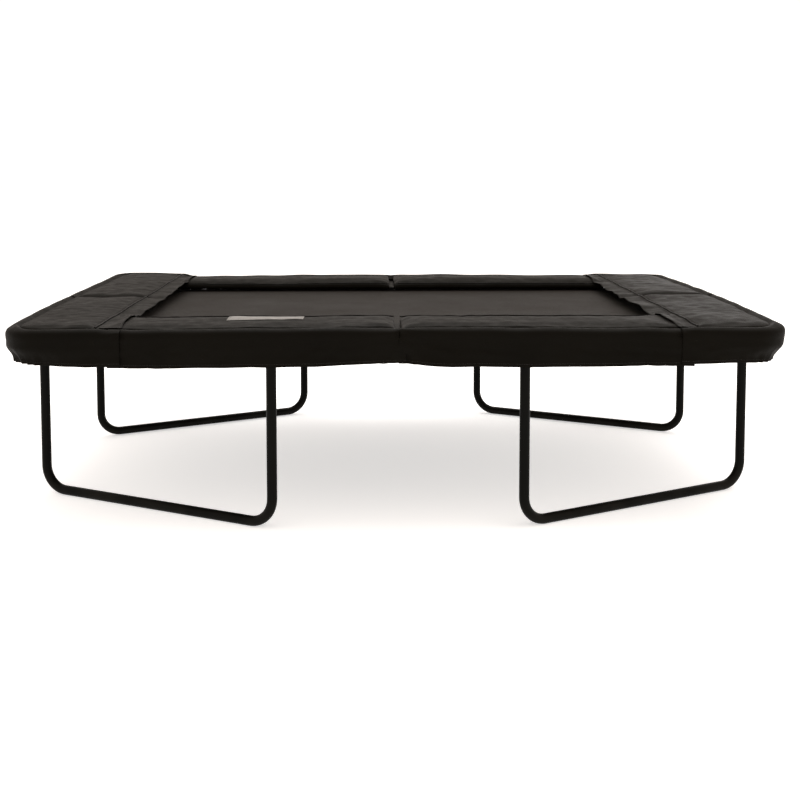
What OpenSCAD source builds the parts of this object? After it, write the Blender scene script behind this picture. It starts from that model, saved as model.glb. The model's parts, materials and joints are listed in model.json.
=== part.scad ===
// Rectangular garden trampoline: a steel tube frame on four U-shaped legs, a sprung jumping bed
// and eight safety pads with skirts. Millimetres, +Z up, origin on the ground below the bed's centre.
// X runs along the long sides; the front is at -Y.

/* [Frame] */
// Length of the steel frame over its tubes
frame_l = 3660; // [3400:10:4200]
// Width of the steel frame over its tubes
frame_w = 2440; // [2300:10:2800]
// Height of the top of the rails above the ground
frame_h = 900; // [700:10:1100]
// Outer diameter of the frame and leg tubes
tube_d = 48; // [42:1:52]
// Wall of every steel tube
tube_wall = 2; // [1.5:0.25:2.5]
// Centreline radius of the bent frame corners
corner_r = 150; // [120:5:200]

/* [Legs] */
// Distance of the end posts from the middle of the short sides
end_post_y = 575; // [500:5:600]
// Distance of the side posts from the middle of the long sides
side_post_x = 587; // [540:1:640]
// Centreline radius of the bends at the foot of each leg
leg_bend_r = 120; // [90:5:160]
// Height of the bolt that holds a post in its socket, below the rail's axis
leg_bolt_drop = 62; // [55:1:70]

/* [Bed] */
// Length of the jumping mat
mat_l = 3000; // [2760:10:3540]
// Width of the jumping mat
mat_w = 1780; // [1640:10:2140]
// Thickness of the woven mat
mat_t = 1.5; // [1:0.25:3]
// Height of the mat's middle below the rail's top
mat_drop = 22; // [18:1:30]
// Springs along each long side
springs_long = 30; // [24:2:34]
// Springs along each short side
springs_short = 17; // [13:2:19]
// Outer diameter of a spring's coil
coil_d = 25; // [20:1:28]

/* [Pads] */
// Length of the pads over their skirts
pad_l = 3690; // [3690:10:4230]
// Width of the pads over their skirts
pad_w = 2470; // [2470:10:2830]
// Width of the foam in every pad
foam_w = 460; // [420:1:480]
// Thickness of an end pad
pad_t = 50; // [35:1:60]
// Height of the skirt's lower edge above the ground
skirt_z = 768; // [600:2:800]
// Width of the flap on the inner edge of the end pads
flap_w = 90; // [50:5:110]

/* [Hidden] */
$fn = 48;

// colours
STEEL = "dimgray";
ZINC = "silver";
WEAVE = "darkslategray";
VINYL = "slategray";
FOAM = "ivory";
ELASTIC = "black";

// the rails' centrelines
tube_r = tube_d/2;
rail_x = frame_l/2 - tube_r;
rail_y = frame_w/2 - tube_r;
rail_z = frame_h - tube_r;
eps = 0.01;

// spring rows: places along each side
pitch_long = (mat_l - 180)/(springs_long - 1);
pitch_short = (mat_w - 180)/(springs_short - 1);
long_rows = [for (i = [0:springs_long - 1]) (i - (springs_long - 1)/2)*pitch_long];
short_rows = [for (i = [0:springs_short - 1]) (i - (springs_short - 1)/2)*pitch_short];

// the frame's joints lie midway between two springs
joint_x = 13*pitch_long;
joint_y = 7.5*pitch_short;

// sleeves inside the joints, and the screws that hold them
sleeve_d = tube_d - 2*tube_wall - 0.6;
sleeve_l = 200;
screw_d = 6;
screw_off = 75;
screw_hole_d = screw_d + 0.4;
screw_head_d = 12;
screw_head_h = 4;

// leg sockets and posts
socket_id = tube_d + 1;
socket_d = socket_id + 7;
socket_z = rail_z - 100;
post_top_z = rail_z - tube_r - 5;
post_foot_z = tube_r + leg_bend_r;
bolt_z = rail_z - leg_bolt_drop;
bolt_d = 8;
bolt_hole_d = bolt_d + 0.4;
washer_t = 1.6;
bolt_head_h = 5.3;
nut_h = 6.5;
hex_d = 14.4;

// bed
mat_z = frame_h - mat_drop;
mat_corner_r = 60;
border_w = 50;
border_t = 1.5;
loop_t = 1.2;
loop_w = 24;
loop_in = 30;
loop_out = 5;
loop_low = mat_z - mat_t/2 - 0.1;
loop_high = mat_z + mat_t/2 + border_t + 0.1;
ring_z = (loop_low + loop_high)/2;
ring_wire = 3;
ring_l = 44;
ring_base = 36;
ring_y = loop_out - ring_wire - 0.1;

// springs
hook_wire = 4;
hook_z = ring_z + ring_wire/2 + hook_wire/2 + 0.4;
hook_hole_d = 12;
hook_drop = 7;
coil_wall = 3.2;
coil_in = 62;
coil_l = 180;

// pads
cover_t = 1.5;
skirt_t = 3;
pad_z = frame_h + 4;
long_pad_t = pad_t - 3;
pad_corner_r = 150;
pad_gap = 2;
end_foam_x = pad_l/2 - foam_w;
long_pad_x = end_foam_x - 5;
flap_x = end_foam_x - flap_w;
flap_t = 2;
skirt_lap_x = flap_x - 38;
tie_w = 25;
tie_t = 1.6;

// ---------- shapes used more than once ----------

// A straight tube of length h along +Z
module tube(h, d = tube_d, wall = tube_wall) {
  difference() {
    cylinder(d = d, h = h);
    translate([0, 0, -1]) cylinder(d = d - 2*wall, h = h + 2);
  }
}

// A quarter bend of centreline radius r, from +X round to +Y about the origin
module bend(r) {
  rotate_extrude(angle = 90, $fn = 96) translate([r, 0]) difference() {
    circle(d = tube_d);
    circle(d = tube_d - 2*tube_wall);
  }
}

// A tube along +X from x0 to x1 on a rail's height
module x_tube(x0, x1, y, d = tube_d) translate([x0, y, rail_z]) rotate([0, 90, 0]) tube(x1 - x0, d);

// A tube along +Y from y0 to y1 on a rail's height
module y_tube(y0, y1, x, d = tube_d) translate([x, y0, rail_z]) rotate([-90, 0, 0]) tube(y1 - y0, d);

// Holes in the inner wall of the front rail (side = -1) or the back rail for the springs' hooks
module long_hook_holes(side, x0, x1) {
  for (x = long_rows) if (x > x0 && x < x1)
    translate([x, side*(rail_y - tube_r/2), hook_z - hook_drop/2 + 1]) rotate([side*90, 0, 0])
      cylinder(d = hook_hole_d, h = tube_d, $fn = 24);
}

// Holes in the inner wall of the left rail (side = -1) or the right rail
module short_hook_holes(side, y0, y1) {
  for (y = short_rows) if (y > y0 && y < y1)
    translate([side*(rail_x - tube_r/2), y, hook_z - hook_drop/2 + 1]) rotate([0, -side*90, 0])
      cylinder(d = hook_hole_d, h = tube_d, $fn = 24);
}

// Screws come up from below through the rail and the sleeve
module screw_hole(x, y) translate([x, y, rail_z - tube_r - 5]) cylinder(d = screw_hole_d, h = 15, $fn = 24);

// A welded socket below a rail, before its bore is cut
module socket_body(x, y) translate([x, y, socket_z]) cylinder(d = socket_d, h = rail_z - socket_z);

// The socket's bore and the cross hole for its bolt; turn is the bolt's direction
module socket_cut(x, y, turn) {
  translate([x, y, socket_z - 1]) cylinder(d = socket_id, h = post_top_z + 2 - socket_z);
  translate([x, y, bolt_z]) rotate([0, 90, turn])
    cylinder(d = bolt_hole_d, h = 2*socket_d, center = true, $fn = 24);
}

// ---------- frame ----------

// Half of a long rail with its leg socket; sx and sy are -1 or 1
module long_rail(sx, sy) color(STEEL) {
  x0 = sx < 0 ? -joint_x : 0;
  x1 = sx < 0 ? 0 : joint_x;
  difference() {
    union() {
      translate([x0, sy*rail_y, rail_z]) rotate([0, 90, 0]) cylinder(d = tube_d, h = x1 - x0);
      socket_body(sx*side_post_x, sy*rail_y);
    }
    translate([x0 - 1, sy*rail_y, rail_z]) rotate([0, 90, 0])
      cylinder(d = tube_d - 2*tube_wall, h = x1 - x0 + 2);
    socket_cut(sx*side_post_x, sy*rail_y, 0);
    long_hook_holes(sy, x0, x1);
    screw_hole(sx*screw_off, sy*rail_y);
    screw_hole(sx*(joint_x - screw_off), sy*rail_y);
  }
}

// A whole end rail with two leg sockets
module end_rail(sx) color(STEEL) difference() {
  union() {
    translate([sx*rail_x, -joint_y, rail_z]) rotate([-90, 0, 0]) cylinder(d = tube_d, h = 2*joint_y);
    for (sy = [-1, 1]) socket_body(sx*rail_x, sy*end_post_y);
  }
  translate([sx*rail_x, -joint_y - 1, rail_z]) rotate([-90, 0, 0])
    cylinder(d = tube_d - 2*tube_wall, h = 2*joint_y + 2);
  for (sy = [-1, 1]) {
    socket_cut(sx*rail_x, sy*end_post_y, 90);
    screw_hole(sx*rail_x, sy*(joint_y - screw_off));
  }
  short_hook_holes(sx, -joint_y, joint_y);
}

// A bent corner tube reaching from a long rail to an end rail
module corner(sx, sy) color(STEEL) mirror([sx < 0 ? 1 : 0, 0, 0]) mirror([0, sy < 0 ? 1 : 0, 0]) {
  difference() {
    x_tube(joint_x, rail_x - corner_r, rail_y);
    long_hook_holes(1, joint_x, rail_x);
    screw_hole(joint_x + screw_off, rail_y);
  }
  difference() {
    y_tube(joint_y, rail_y - corner_r, rail_x);
    short_hook_holes(1, joint_y, rail_y);
    screw_hole(rail_x, joint_y + screw_off);
  }
  translate([rail_x - corner_r, rail_y - corner_r, rail_z]) bend(corner_r);
}

// Inner sleeves at the ten joints of the rails
module rail_sleeves() color(ZINC) {
  half = sleeve_l/2;
  for (sy = [-1, 1], x = [-joint_x, 0, joint_x]) difference() {
    x_tube(x - half, x + half, sy*rail_y, sleeve_d);
    long_hook_holes(sy, x - half, x + half);
    for (s = [-1, 1]) screw_hole(x + s*screw_off, sy*rail_y);
  }
  for (sx = [-1, 1], sy = [-1, 1]) difference() {
    y_tube(sy*joint_y - half, sy*joint_y + half, sx*rail_x, sleeve_d);
    short_hook_holes(sx, sy*joint_y - half, sy*joint_y + half);
    for (s = [-1, 1]) screw_hole(sx*rail_x, sy*joint_y + s*screw_off);
  }
}

// One self-drilling screw under a joint
module sleeve_screw(x, y) translate([x, y, rail_z - tube_r - 0.2]) {
  translate([0, 0, -screw_head_h]) cylinder(d = screw_head_d, h = screw_head_h, $fn = 6);
  translate([0, 0, -eps]) cylinder(d = screw_d, h = 2*tube_wall + 4, $fn = 24);
}

module sleeve_screws() color(ZINC) for (s = [-1, 1], sy = [-1, 1]) {
  for (x = [-joint_x, 0, joint_x]) sleeve_screw(x + s*screw_off, sy*rail_y);
  for (sx = [-1, 1]) sleeve_screw(sx*rail_x, sy*joint_y + s*screw_off);
}

// ---------- legs ----------

// One U-shaped leg: a post under the end rail, a bar on the ground and a post under the long rail
module leg(sx, sy) color(STEEL) {
  foot = [sx*rail_x, sy*end_post_y];
  run = [sx*side_post_x, sy*rail_y] - foot;
  bar_l = norm(run);
  turn = atan2(run[1], run[0]);
  post_l = post_top_z - post_foot_z;
  difference() {
    translate([foot[0], foot[1], 0]) rotate([0, 0, turn]) {
      for (x = [0, bar_l]) translate([x, 0, post_foot_z]) tube(post_l);
      translate([leg_bend_r, 0, tube_r]) rotate([0, 90, 0]) tube(bar_l - 2*leg_bend_r);
      translate([leg_bend_r, 0, post_foot_z]) rotate([90, 180, 0]) bend(leg_bend_r);
      translate([bar_l - leg_bend_r, 0, post_foot_z]) rotate([-90, 0, 0]) bend(leg_bend_r);
    }
    at_posts() rotate([0, 90, 0]) cylinder(d = bolt_hole_d, h = 2*socket_d, center = true, $fn = 24);
  }
}

// Places its children at each of the eight posts, with +X along the rail and away from the frame's corner
module at_posts() for (sx = [-1, 1], sy = [-1, 1]) {
  translate([sx*rail_x, sy*end_post_y, bolt_z]) rotate([0, 0, -sy*90]) children();
  translate([sx*side_post_x, sy*rail_y, bolt_z]) rotate([0, 0, sx < 0 ? 0 : 180]) children();
}

module leg_bolts() color(ZINC) at_posts() rotate([0, 90, 0]) {
  translate([0, 0, -socket_d/2 - 14]) cylinder(d = bolt_d, h = socket_d + 14 + washer_t, $fn = 24);
  translate([0, 0, socket_d/2 + washer_t]) cylinder(d = hex_d, h = bolt_head_h, $fn = 6);
}

module leg_washers() color(ZINC) at_posts() rotate([0, 90, 0])
  for (z = [socket_d/2, -socket_d/2 - washer_t]) translate([0, 0, z]) difference() {
    cylinder(d = 16, h = washer_t, $fn = 32);
    translate([0, 0, -1]) cylinder(d = bolt_hole_d, h = washer_t + 2, $fn = 24);
  }

module leg_nuts() color(ZINC) at_posts() rotate([0, 90, 0])
  translate([0, 0, -socket_d/2 - washer_t - nut_h]) difference() {
    cylinder(d = hex_d, h = nut_h, $fn = 6);
    translate([0, 0, -1]) cylinder(d = bolt_d + 0.2, h = nut_h + 2, $fn = 24);
  }

// ---------- bed ----------

// A rectangle with round corners
module round_rect(l, w, r) {
  square([l - 2*r, w], center = true);
  square([l, w - 2*r], center = true);
  for (sx = [-1, 1], sy = [-1, 1]) translate([sx*(l/2 - r), sy*(w/2 - r)]) circle(r = r);
}

module jump_mat() color(WEAVE) translate([0, 0, mat_z - mat_t/2])
  linear_extrude(mat_t) round_rect(mat_l, mat_w, mat_corner_r);

// Webbing sewn round the mat's edge
module mat_border() color(ELASTIC) translate([0, 0, mat_z + mat_t/2]) linear_extrude(border_t) difference() {
  round_rect(mat_l, mat_w, mat_corner_r);
  square([mat_l - 2*border_w, mat_w - 2*border_w], center = true);
}

// Places its children at every spring of one side, with the mat's edge at y = 0 and the rail at +Y
module at_springs_y(side) for (x = long_rows)
  translate([x, side*mat_w/2, 0]) rotate([0, 0, side < 0 ? 180 : 0]) children();

module at_springs_x(side) for (y = short_rows)
  translate([side*mat_l/2, y, 0]) rotate([0, 0, -side*90]) children();

module at_all_springs() {
  for (side = [-1, 1]) {
    at_springs_y(side) children();
    at_springs_x(side) children();
  }
}

// A webbing loop folded round the mat's edge, with the ring's bar in its nose
module ring_loop() {
  gap_r = (loop_high - loop_low)/2;
  translate([-loop_w/2, 0, ring_z]) rotate([90, 0, 90]) linear_extrude(loop_w) difference() {
    union() {
      translate([-loop_in, -gap_r - loop_t]) square([loop_in + loop_out, 2*gap_r + 2*loop_t]);
      translate([loop_out, 0]) circle(r = gap_r + loop_t, $fn = 24);
    }
    translate([-loop_in - 1, -gap_r]) square([loop_in + loop_out + 1, 2*gap_r]);
    translate([loop_out, 0]) circle(r = gap_r, $fn = 24);
  }
}

module ring_loops() color(ELASTIC) at_all_springs() ring_loop();

// A flat triangular ring, its base in the loop and its point towards the rail
module v_ring() {
  side = ring_wire*1.6;
  translate([0, ring_y, ring_z - ring_wire/2]) linear_extrude(ring_wire) difference() {
    polygon([[-ring_base/2, 0], [ring_base/2, 0], [ring_wire*1.5, ring_l], [-ring_wire*1.5, ring_l]]);
    polygon([[-ring_base/2 + side, ring_wire], [ring_base/2 - side, ring_wire],
             [ring_wire*0.9, ring_l - ring_wire], [-ring_wire*0.9, ring_l - ring_wire]]);
  }
}

module v_rings() color(ZINC) at_all_springs() v_ring();

// One spring, drawn as its outer shape, from its hook in the ring to its hook in the rail
module spring() {
  ring_hook_y = ring_l - ring_wire - hook_wire/2 - 0.5;
  rail_hook_y = rail_y - tube_r - mat_w/2 + 6;
  translate([0, 0, hook_z]) {
    translate([0, coil_in, 0]) rotate([-90, 0, 0]) difference() {
      cylinder(d = coil_d, h = coil_l, $fn = 32);
      translate([0, 0, coil_wall]) cylinder(d = coil_d - 2*coil_wall, h = coil_l - 2*coil_wall, $fn = 32);
    }
    for (span = [[ring_hook_y, coil_in + eps], [coil_in + coil_l - eps, rail_hook_y]])
      translate([0, span[0], 0]) rotate([-90, 0, 0]) cylinder(d = hook_wire, h = span[1] - span[0], $fn = 16);
    for (y = [ring_hook_y, rail_hook_y]) translate([0, y, -hook_drop])
      cylinder(d = hook_wire, h = hook_drop + hook_wire/2, $fn = 16);
  }
}

module springs_front() color(ZINC) at_springs_y(-1) spring();
module springs_back() color(ZINC) at_springs_y(1) spring();
module springs_left() color(ZINC) at_springs_x(-1) spring();
module springs_right() color(ZINC) at_springs_x(1) spring();

// ---------- pads ----------

// Mirrors its children into the corner given by sx and sy
module to_corner(sx, sy) mirror([sx < 0 ? 1 : 0, 0, 0]) mirror([0, sy < 0 ? 1 : 0, 0]) children();

// Outline of an end pad in the +X +Y corner, pulled in by inset
module end_outline(inset = 0) {
  r = pad_corner_r - inset;
  x0 = end_foam_x + inset;
  x1 = pad_l/2 - inset;
  y1 = pad_w/2 - inset;
  translate([x0, pad_gap/2 + inset]) square([x1 - r - x0, y1 - pad_gap/2 - inset]);
  translate([x0, pad_gap/2 + inset]) square([x1 - x0, y1 - r - pad_gap/2 - inset]);
  translate([x1 - r, y1 - r]) circle(r = r);
}

// Outline of a long pad in the +X +Y corner, pulled in by inset
module long_outline(inset = 0)
  translate([pad_gap/2 + inset, pad_w/2 - foam_w + inset])
    square([long_pad_x - pad_gap/2 - 2*inset, foam_w - skirt_t - 1 - 2*inset]);

// A pad cover: a thin shell round its foam, open to nothing
module shell(t) difference() {
  translate([0, 0, pad_z]) linear_extrude(t) children(0);
  translate([0, 0, pad_z + cover_t]) linear_extrude(t - 2*cover_t) children(1);
}

module end_pad(sx, sy) color(VINYL) to_corner(sx, sy) {
  shell(pad_t) {
    end_outline();
    end_outline(cover_t);
  }
  // skirt round the corner
  difference() {
    translate([0, 0, skirt_z]) linear_extrude(pad_z - skirt_z) union() {
      end_outline();
      translate([skirt_lap_x, pad_w/2 - skirt_t]) square([end_foam_x - skirt_lap_x + 1, skirt_t]);
    }
    translate([0, 0, skirt_z - 1]) linear_extrude(pad_z - skirt_z + 2) {
      end_outline(skirt_t);
      translate([end_foam_x - 1, -1]) square([skirt_t + 2, pad_w/2 + 1 - skirt_t]);
      translate([0, -1]) square([pad_l/2 - skirt_t, skirt_t + pad_gap + 2]);
    }
  }
  // the skirt's lap over the long pad, and the flap on the inner edge
  translate([skirt_lap_x, pad_w/2 - skirt_t, pad_z - eps])
    cube([end_foam_x - skirt_lap_x + 1, skirt_t, pad_t - flap_t]);
  translate([flap_x, pad_gap/2, pad_z + pad_t - flap_t])
    cube([flap_w + 1, pad_w/2 - pad_gap/2, flap_t]);
}

module long_pad(sx, sy) color(VINYL) to_corner(sx, sy) {
  shell(long_pad_t) {
    long_outline();
    long_outline(cover_t);
  }
  translate([pad_gap/2, pad_w/2 - 2*skirt_t - 1, skirt_z - 5])
    cube([long_pad_x - 50, skirt_t, pad_z - skirt_z + 5 + eps]);
}

foam_inset = cover_t + 0.3;

// The foam inside the two pads of a long side
module long_foam(sy) color(FOAM) for (sx = [-1, 1]) to_corner(sx, sy)
  translate([0, 0, pad_z + foam_inset]) linear_extrude(long_pad_t - 2*foam_inset) long_outline(foam_inset);

// The foam inside the two pads of an end
module end_foam(sx) color(FOAM) for (sy = [-1, 1]) to_corner(sx, sy)
  translate([0, 0, pad_z + foam_inset]) linear_extrude(pad_t - 2*foam_inset) end_outline(foam_inset);

// One elastic tie: a U round the rail from below, its ends sewn to the pad
module tie() rotate([90, 0, 0]) linear_extrude(tie_w, center = true) {
  r = tube_r + 0.4;
  difference() {
    union() {
      circle(r = r + tie_t);
      translate([-r - tie_t, 0]) square([2*r + 2*tie_t, pad_z - rail_z - 0.3]);
    }
    circle(r = r);
    translate([-r, 0]) square([2*r, pad_z]);
  }
}

module pad_ties() color(ELASTIC) for (sx = [-1, 1], sy = [-1, 1]) {
  for (x = [2*pitch_long, 5*pitch_long, 8*pitch_long, 11*pitch_long, 15.7*pitch_long])
    translate([sx*x, sy*rail_y, rail_z]) rotate([0, 0, 90]) tie();
  for (y = [1.5*pitch_short, 4.5*pitch_short, 9*pitch_short])
    translate([sx*rail_x, sy*y, rail_z]) tie();
}

// ---------- nodes ----------

long_rail(-1, -1);  // long_rail_front_left
long_rail(1, -1);  // long_rail_front_right
long_rail(-1, 1);  // long_rail_back_left
long_rail(1, 1);  // long_rail_back_right
end_rail(-1);  // end_rail_left
end_rail(1);  // end_rail_right
corner(-1, -1);  // corner_front_left
corner(1, -1);  // corner_front_right
corner(-1, 1);  // corner_back_left
corner(1, 1);  // corner_back_right
rail_sleeves();
sleeve_screws();
leg(-1, -1);  // leg_front_left
leg(1, -1);  // leg_front_right
leg(-1, 1);  // leg_back_left
leg(1, 1);  // leg_back_right
leg_bolts();
leg_washers();
leg_nuts();
springs_front();
springs_back();
springs_left();
springs_right();
jump_mat();
mat_border();
ring_loops();
v_rings();
long_pad(-1, -1);  // pad_front_left
long_pad(1, -1);  // pad_front_right
long_pad(-1, 1);  // pad_back_left
long_pad(1, 1);  // pad_back_right
end_pad(-1, -1);  // pad_left_front
end_pad(-1, 1);  // pad_left_back
end_pad(1, -1);  // pad_right_front
end_pad(1, 1);  // pad_right_back
long_foam(-1);  // foam_front
long_foam(1);  // foam_back
end_foam(-1);  // foam_left
end_foam(1);  // foam_right
pad_ties();
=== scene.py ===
# Looks of a rectangular garden trampoline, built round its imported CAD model. Metres, +Z up, front at -Y.
import json
import math
import random

import bpy
import numpy as np
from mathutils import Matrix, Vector
from mathutils.bvhtree import BVHTree


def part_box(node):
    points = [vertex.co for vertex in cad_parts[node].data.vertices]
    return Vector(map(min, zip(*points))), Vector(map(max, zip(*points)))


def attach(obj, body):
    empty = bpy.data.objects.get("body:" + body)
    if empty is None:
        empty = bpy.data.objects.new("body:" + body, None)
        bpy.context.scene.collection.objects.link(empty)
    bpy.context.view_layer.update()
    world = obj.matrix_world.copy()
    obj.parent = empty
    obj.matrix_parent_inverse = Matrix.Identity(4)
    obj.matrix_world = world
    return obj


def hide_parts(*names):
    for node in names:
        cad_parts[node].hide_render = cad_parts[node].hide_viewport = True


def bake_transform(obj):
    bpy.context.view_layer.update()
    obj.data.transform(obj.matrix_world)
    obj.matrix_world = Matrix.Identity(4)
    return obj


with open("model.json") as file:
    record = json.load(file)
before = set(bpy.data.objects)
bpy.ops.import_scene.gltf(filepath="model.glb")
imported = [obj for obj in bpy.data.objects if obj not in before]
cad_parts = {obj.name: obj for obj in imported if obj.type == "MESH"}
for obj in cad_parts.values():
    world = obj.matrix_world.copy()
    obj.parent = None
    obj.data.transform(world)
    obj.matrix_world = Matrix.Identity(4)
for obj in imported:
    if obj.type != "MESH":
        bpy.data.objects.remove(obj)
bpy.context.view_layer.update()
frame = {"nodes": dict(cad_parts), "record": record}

# ---------- places, all from the CAD model ----------

MAT_LO, MAT_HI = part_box("jump_mat")
BORDER_LO, BORDER_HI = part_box("mat_border")
RING_LO, RING_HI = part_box("v_rings")
LOOP_LO, LOOP_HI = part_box("ring_loops")
SPRING_LO, SPRING_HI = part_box("springs_back")
RAIL_LO, RAIL_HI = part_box("long_rail_back_right")
LEG_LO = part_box("leg_back_right")[0]
LONG_LO, LONG_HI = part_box("pad_back_right")
END_LO, END_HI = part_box("pad_right_back")
FOAM_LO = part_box("foam_right")[0]
TUBE_LOW, TUBE_TOP = [corner.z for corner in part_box("corner_back_right")]

FOAM_INSET = 0.0018
TUBE_R = 0.024
PAD_FLOOR = FOAM_LO.z - FOAM_INSET
END_INNER = FOAM_LO.x - FOAM_INSET
LAP_EDGE = END_LO.x
FLAP_EDGE = LAP_EDGE + 0.038
# where the end pads' skirts start, over the long pads' ones
LAPS = {"left front": LAP_EDGE + 0.016, "right front": LAP_EDGE + 0.052}
BACK_LAP = LAP_EDGE + 0.050
SKIRT_PAST_LAP = 0.060
CORNER_R = 0.190
CORNER = (END_HI.x - CORNER_R, END_HI.y - CORNER_R)
RAIL_OUT = (RAIL_LO.y + RAIL_HI.y)/2 - MAT_HI.y
POST_X = LEG_LO.x + TUBE_R
POST_Y = LEG_LO.y + TUBE_R

LONG_SPRINGS = 30
SHORT_SPRINGS = 17
ROW_MARGIN = 0.18
MAT_CORNER_R = 0.060
BORDER_W = 0.050


# ---------- small tools ----------

def smooth(a, b, x):
    """0 below a, 1 above b and an S-shaped rise between them."""
    t = np.clip((np.asarray(x, float) - a)/(b - a), 0, 1)
    return t*t*(3 - 2*t)


def hump(x, centre, width):
    """A soft bump of height 1 at centre."""
    return np.exp(-((np.asarray(x, float) - centre)/width)**2)


def ripples(x, y, seed, size, waves=8):
    """Smooth random ripples about as wide as size, mostly between -1 and 1."""
    rng = random.Random(seed)
    total = np.zeros(np.broadcast(x, y).shape)
    for _ in range(waves):
        angle = rng.uniform(0, 2*math.pi)
        rate = 2*math.pi/(size*rng.uniform(0.7, 1.5))
        phase = rng.uniform(0, 2*math.pi)
        total += np.sin(rate*(x*math.cos(angle) + y*math.sin(angle)) + phase)
    return total/math.sqrt(waves)


def rounded_path(points, step):
    """Points about a step apart on a smooth curve through the given ones."""
    p = np.array(points, float)
    p = np.vstack([2*p[0] - p[1], p, 2*p[-1] - p[-2]])
    out = []
    for a, b, c, d in zip(p, p[1:], p[2:], p[3:]):
        count = max(1, math.ceil(np.linalg.norm(c - b)/step))
        for t in np.arange(count)/count:
            out.append(0.5*(2*b + (c - a)*t + (2*a - 5*b + 4*c - d)*t**2 + (3*b - a - 3*c + d)*t**3))
    return np.array(out + [p[-2]])


def track_length(place):
    """The length run so far at each point of a line."""
    step = np.linalg.norm(np.diff(place, axis=0), axis=1)
    return np.concatenate([[0], np.cumsum(step)])


def grid_faces(rows, cols, wrap=False):
    """Quads between the points of a grid; wrap closes each row into a ring."""
    i, j = np.meshgrid(np.arange(rows - 1), np.arange(cols if wrap else cols - 1), indexing="ij")
    k = (j + 1) % cols
    quads = np.stack([i*cols + j, i*cols + k, (i + 1)*cols + k, (i + 1)*cols + j], -1)
    return quads.reshape(-1, 4).tolist()


def new_mesh(name, points, faces, paint, flat=False):
    """A mesh object with one material."""
    mesh = bpy.data.meshes.new(name)
    mesh.from_pydata(np.asarray(points, float).reshape(-1, 3).tolist(), [], faces)
    mesh.update()
    if flat:
        mesh.shade_flat()
    else:
        mesh.shade_smooth()
    mesh.materials.append(paint)
    obj = bpy.data.objects.new(name, mesh)
    bpy.context.collection.objects.link(obj)
    return obj


def applied(obj):
    """Replaces an object's mesh by what its modifiers make of it."""
    bpy.context.view_layer.update()
    graph = bpy.context.evaluated_depsgraph_get()
    mesh = bpy.data.meshes.new_from_object(obj.evaluated_get(graph), depsgraph=graph)
    obj.modifiers.clear()
    obj.data = mesh
    mesh.shade_smooth()


def thicken(obj, thickness, offset=-1.0):
    """Gives a sheet its thickness."""
    solid = obj.modifiers.new("thickness", "SOLIDIFY")
    solid.thickness = thickness
    solid.offset = offset
    applied(obj)


def coords(obj):
    """An object's points as an array."""
    out = np.empty(len(obj.data.vertices)*3)
    obj.data.vertices.foreach_get("co", out)
    return out.reshape(-1, 3)


def set_coords(obj, points):
    """Moves an object's points to new places."""
    obj.data.vertices.foreach_set("co", np.asarray(points, float).ravel())
    obj.data.update()


def merged(parts):
    """Several (points, faces) pairs as one."""
    points, faces, start = [], [], 0
    for p, f in parts:
        points.append(np.asarray(p, float).reshape(-1, 3))
        faces += [[start + i for i in face] for face in f]
        start += len(points[-1])
    return np.vstack(points), faces


SLANT = (0.31, 0.17, 0.93)  # a direction that no tube starts along


def tube(path, radius, sides=8, closed=False):
    """Points and faces of a round tube along a path, its frame carried along without twist."""
    path = np.asarray(path, float)
    if closed:
        ahead = np.roll(path, -1, 0) - np.roll(path, 1, 0)
    else:
        ahead = np.gradient(path, axis=0)
    ahead /= np.linalg.norm(ahead, axis=1)[:, None]
    side = np.cross(ahead[0], SLANT)
    across = []
    for direction in ahead:
        side = side - direction*np.dot(side, direction)
        side = side/np.linalg.norm(side)
        across.append(side)
    u = np.array(across)
    v = np.cross(ahead, u)
    angle = np.arange(sides)*2*math.pi/sides
    ring = np.cos(angle)[None, :, None]*u[:, None] + np.sin(angle)[None, :, None]*v[:, None]
    points = path[:, None] + radius*ring
    faces = grid_faces(len(path), sides, wrap=True)
    if closed:
        last = (len(path) - 1)*sides
        faces += [[last + j, last + (j + 1) % sides, (j + 1) % sides, j] for j in range(sides)]
    else:
        faces.append(list(range(sides))[::-1])
        faces.append([(len(path) - 1)*sides + j for j in range(sides)])
    return points.reshape(-1, 3), faces


STITCH_L = 0.0052
STITCH_W = 0.0011
STITCH_H = 0.0007


def stitches(places, ahead, out):
    """Short raised stitches at places, along ahead, standing on the side out."""
    ahead = ahead/np.linalg.norm(ahead, axis=1)[:, None]
    side = np.cross(out, ahead)
    side /= np.linalg.norm(side, axis=1)[:, None]
    points = []
    for along, across, high in [
        (-0.5, 0, -0.2), (-0.3, 0.5, 0.1), (-0.3, 0, 1), (-0.3, -0.5, 0.1),
        (0.3, 0.5, 0.1), (0.3, 0, 1), (0.3, -0.5, 0.1), (0.5, 0, -0.2),
    ]:
        points.append(places + STITCH_L*along*ahead + STITCH_W*across*side + STITCH_H*high*out)
    cell = [[0, 2, 1], [0, 3, 2], [1, 2, 5, 4], [2, 3, 6, 5], [4, 5, 7], [5, 6, 7]]
    count = len(places)
    faces = [[8*n + i for i in face] for n in range(count) for face in cell]
    return np.stack(points, 1).reshape(-1, 3), faces


def stitch_run(path, out, pitch=0.008):
    """Stitches along a path, out being the surface's outward direction at each of its points."""
    run = track_length(path)
    at = np.arange(pitch/2, run[-1], pitch)
    places = np.stack([np.interp(at, run, path[:, k]) for k in range(3)], -1)
    ahead = np.stack([np.interp(at + 0.001, run, path[:, k]) for k in range(3)], -1) - places
    ahead[-1] = ahead[-2]
    up = np.stack([np.interp(at, run, out[:, k]) for k in range(3)], -1)
    up /= np.linalg.norm(up, axis=1)[:, None]
    return stitches(places + 0.0002*up, ahead, up)


def sewn(name, runs):
    """Runs of stitches as one piece."""
    return new_mesh(name + "_stitches", *merged(runs), THREAD, flat=True)


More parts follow.
